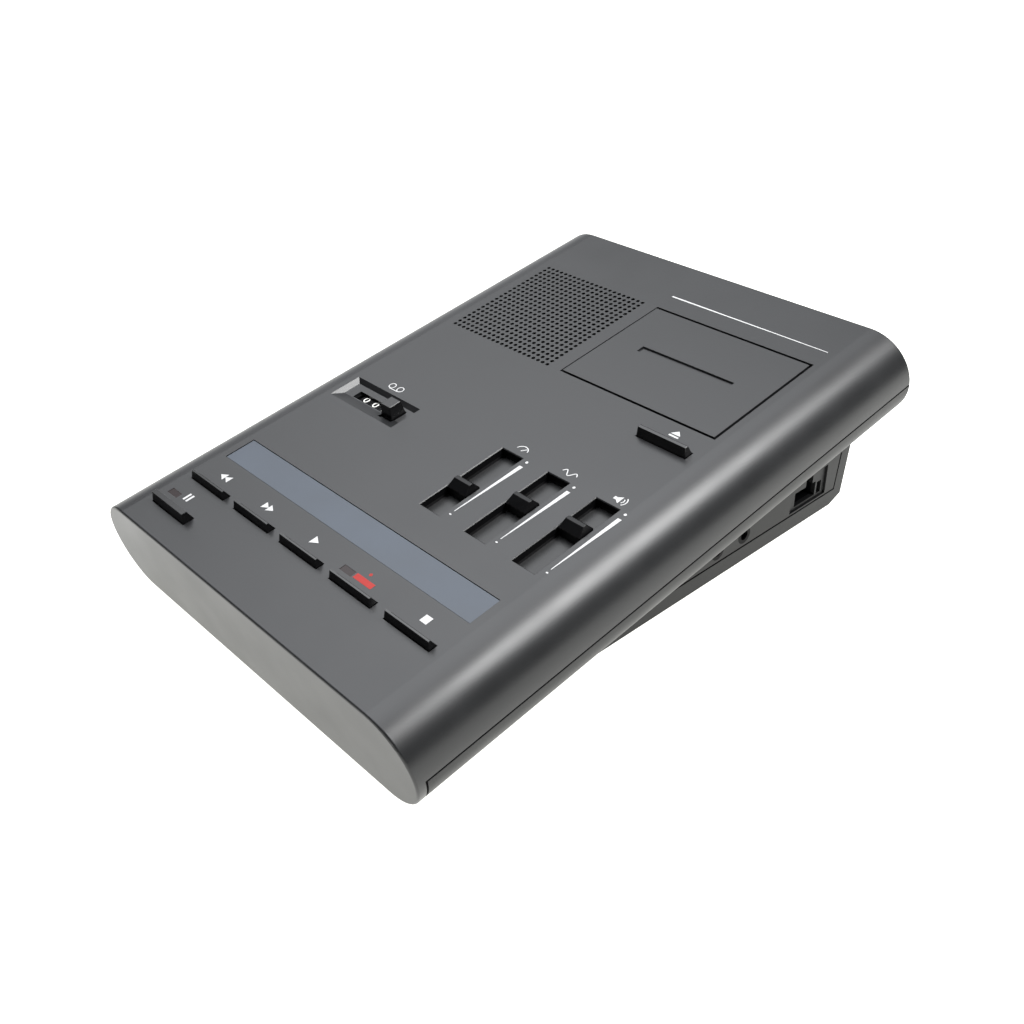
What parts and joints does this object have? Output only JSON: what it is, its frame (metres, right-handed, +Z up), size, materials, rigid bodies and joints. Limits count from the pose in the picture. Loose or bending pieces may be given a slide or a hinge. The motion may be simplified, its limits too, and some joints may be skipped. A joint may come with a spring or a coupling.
{
  "type": "desktop microcassette transcriber",
  "caption": "Sloping desktop microcassette machine with transport keys, slide controls, tape counter, loudspeaker grille and a hinged cassette lid over a working deck.",
  "frame": {"origin": "centre of the footprint on the table, under the feet", "axes": "+X to the user's right, +Y towards the back, +Z up"},
  "size_m": [0.164, 0.2238, 0.0704],
  "materials": {
    "charcoal": "satin charcoal moulding",
    "black": "satin black moulding",
    "strip": "satin blue-grey card",
    "smoke": "glossy smoked window",
    "lamp": "red lamp",
    "felt": "grey felt",
    "rubber": "black rubber",
    "steel": "plain steel",
    "brass": "turned brass",
    "cream": "natural acetal",
    "board": "green circuit board",
    "magnet": "ferrite grey"
  },
  "bodies": {
    "case": {"top_shell": "charcoal", "speaker_grille": "charcoal", "bottom_shell": "charcoal", "base_cover": "charcoal", "rubber_feet": "rubber", "case_screws": "steel", "cover_screws": "steel", "inner_screws": "steel", "label_strip": "strip", "indicator_lenses": "smoke", "indicator_leds": "lamp", "key_board": "board", "key_switches": "steel", "slider_trough": "black", "dust_strips": "felt", "slide_pots": "steel", "counter_frame": "black", "counter_shaft": "steel", "counter_belt": "rubber", "deck_plate": "steel", "deck_bushes": "brass", "drive_motor": "steel", "drive_belt": "rubber", "lid_pin": "steel", "latch_pin": "steel", "speaker_basket": "steel", "speaker_cone": "black", "speaker_magnet": "magnet", "main_board": "board", "audio_jacks": "black", "pedal_socket": "black"},
    "pause": {"pause_key": "black"},
    "rewind": {"rewind_key": "black"},
    "forward": {"forward_key": "black"},
    "play": {"play_key": "black"},
    "record": {"record_key": "black"},
    "stop": {"stop_key": "black"},
    "speed_slider": {"speed_knob": "black", "speed_lever": "steel"},
    "tone_slider": {"tone_knob": "black", "tone_lever": "steel"},
    "volume_slider": {"volume_knob": "black", "volume_lever": "steel"},
    "reset": {"reset_button": "black"},
    "hundreds": {"hundreds_wheel": "black"},
    "tens": {"tens_wheel": "black"},
    "units": {"units_wheel": "black"},
    "worm": {"counter_worm": "cream"},
    "supply": {"supply_reel": "cream"},
    "takeup": {"takeup_reel": "cream"},
    "flywheel": {"flywheel": "brass"},
    "idler": {"idler_wheel": "rubber"},
    "motor_pulley": {"motor_pulley": "brass"},
    "head": {"head_slide": "steel", "tape_head": "steel"},
    "pinch": {"pinch_arm": "steel"},
    "roller": {"pinch_roller": "rubber"},
    "lid": {"cassette_lid": "charcoal"},
    "eject": {"eject_button": "black"},
    "latch": {"latch_lever": "cream"}
  },
  "joints": [
    {"name": "lid_hinge", "type": "hinge", "parent": "case", "child": "lid", "pos_m": [-0.00445, 0.05258, 0.06094], "axis": [0, -0.9863, -0.165], "range_deg": [0, 75]},
    {"name": "pause_press", "type": "slide", "parent": "case", "child": "pause", "axis": [0, 0.165, -0.9863], "range_m": [0, 0.001], "stiffness_N_per_m": 600, "springref_m": -0.001},
    {"name": "rewind_press", "type": "slide", "parent": "case", "child": "rewind", "axis": [0, 0.165, -0.9863], "range_m": [0, 0.001], "stiffness_N_per_m": 600, "springref_m": -0.001},
    {"name": "forward_press", "type": "slide", "parent": "case", "child": "forward", "axis": [0, 0.165, -0.9863], "range_m": [0, 0.001], "stiffness_N_per_m": 600, "springref_m": -0.001},
    {"name": "play_press", "type": "slide", "parent": "case", "child": "play", "axis": [0, 0.165, -0.9863], "range_m": [0, 0.001], "stiffness_N_per_m": 600, "springref_m": -0.001},
    {"name": "record_press", "type": "slide", "parent": "case", "child": "record", "axis": [0, 0.165, -0.9863], "range_m": [0, 0.001], "stiffness_N_per_m": 600, "springref_m": -0.001},
    {"name": "stop_press", "type": "slide", "parent": "case", "child": "stop", "axis": [0, 0.165, -0.9863], "range_m": [0, 0.001], "stiffness_N_per_m": 600, "springref_m": -0.001},
    {"name": "eject_press", "type": "slide", "parent": "case", "child": "eject", "axis": [0, 0.165, -0.9863], "range_m": [0, 0.002], "stiffness_N_per_m": 500, "springref_m": -0.002},
    {"name": "latch_pivot", "type": "hinge", "parent": "case", "child": "latch", "pos_m": [0.0521, 0.02497, 0.0472], "axis": [1, 0, 0], "range_deg": [0, 17]},
    {"name": "reset_press", "type": "slide", "parent": "case", "child": "reset", "axis": [0, 0.165, -0.9863], "range_m": [0, 0.0016], "stiffness_N_per_m": 400, "springref_m": -0.0015},
    {"name": "speed_slide", "type": "slide", "parent": "case", "child": "speed_slider", "axis": [0, 0.9863, 0.165], "range_m": [-0.01055, 0.01775]},
    {"name": "tone_slide", "type": "slide", "parent": "case", "child": "tone_slider", "axis": [0, 0.9863, 0.165], "range_m": [-0.01625, 0.01205]},
    {"name": "volume_slide", "type": "slide", "parent": "case", "child": "volume_slider", "axis": [0, 0.9863, 0.165], "range_m": [-0.01795, 0.01035]},
    {"name": "flywheel_spin", "type": "hinge", "parent": "case", "child": "flywheel", "pos_m": [0.0409, 0.04235, 0.04149], "axis": [0, -0.165, 0.9863], "continuous": true},
    {"name": "motor_spin", "type": "hinge", "parent": "case", "child": "motor_pulley", "pos_m": [0.05631, 0.03659, 0.03241], "axis": [0, -0.165, 0.9863], "continuous": true},
    {"name": "idler_spin", "type": "hinge", "parent": "case", "child": "idler", "pos_m": [0.04003, 0.05, 0.04581], "axis": [0, -0.165, 0.9863], "continuous": true},
    {"name": "takeup_spin", "type": "hinge", "parent": "case", "child": "takeup", "pos_m": [0.03895, 0.05978, 0.04947], "axis": [0, -0.165, 0.9863], "continuous": true},
    {"name": "supply_spin", "type": "hinge", "parent": "case", "child": "supply", "pos_m": [0.01845, 0.05978, 0.04947], "axis": [0, -0.165, 0.9863], "continuous": true},
    {"name": "worm_spin", "type": "hinge", "parent": "case", "child": "worm", "pos_m": [-0.0366, -0.01486, 0.038], "axis": [0, -0.165, 0.9863], "continuous": true},
    {"name": "units_turn", "type": "hinge", "parent": "case", "child": "units", "pos_m": [-0.0416, -0.02128, 0.04006], "axis": [1, 0, 0], "continuous": true},
    {"name": "tens_turn", "type": "hinge", "parent": "case", "child": "tens", "pos_m": [-0.04675, -0.02128, 0.04006], "axis": [1, 0, 0], "continuous": true},
    {"name": "hundreds_turn", "type": "hinge", "parent": "case", "child": "hundreds", "pos_m": [-0.0519, -0.02128, 0.04006], "axis": [1, 0, 0], "continuous": true},
    {"name": "head_feed", "type": "slide", "parent": "case", "child": "head", "axis": [0, 0.9863, 0.165], "range_m": [0, 0.003], "stiffness_N_per_m": 200, "springref_m": -0.002},
    {"name": "pinch_swing", "type": "hinge", "parent": "case", "child": "pinch", "pos_m": [0.0519, 0.03594, 0.0465], "axis": [0, -0.165, 0.9863], "range_deg": [-16, 0]},
    {"name": "roller_spin", "type": "hinge", "parent": "pinch", "child": "roller", "pos_m": [0.0409, 0.03347, 0.04913], "axis": [0, -0.165, 0.9863], "continuous": true}
  ],
  "couplings": [
    {"joint": "latch_pivot", "follows": "eject_press", "rad_per_m": 141.84},
    {"joint": "pinch_swing", "follows": "head_feed", "rad_per_m": -91},
    {"joint": "motor_spin", "follows": "flywheel_spin", "ratio": 5.4546},
    {"joint": "idler_spin", "follows": "flywheel_spin", "ratio": -1.666},
    {"joint": "takeup_spin", "follows": "flywheel_spin", "ratio": 0.71429},
    {"joint": "worm_spin", "follows": "flywheel_spin", "ratio": 0.71429},
    {"joint": "units_turn", "follows": "flywheel_spin", "ratio": -0.071429},
    {"joint": "tens_turn", "follows": "flywheel_spin", "ratio": -0.0071429},
    {"joint": "hundreds_turn", "follows": "flywheel_spin", "ratio": -0.00071429}
  ]
}
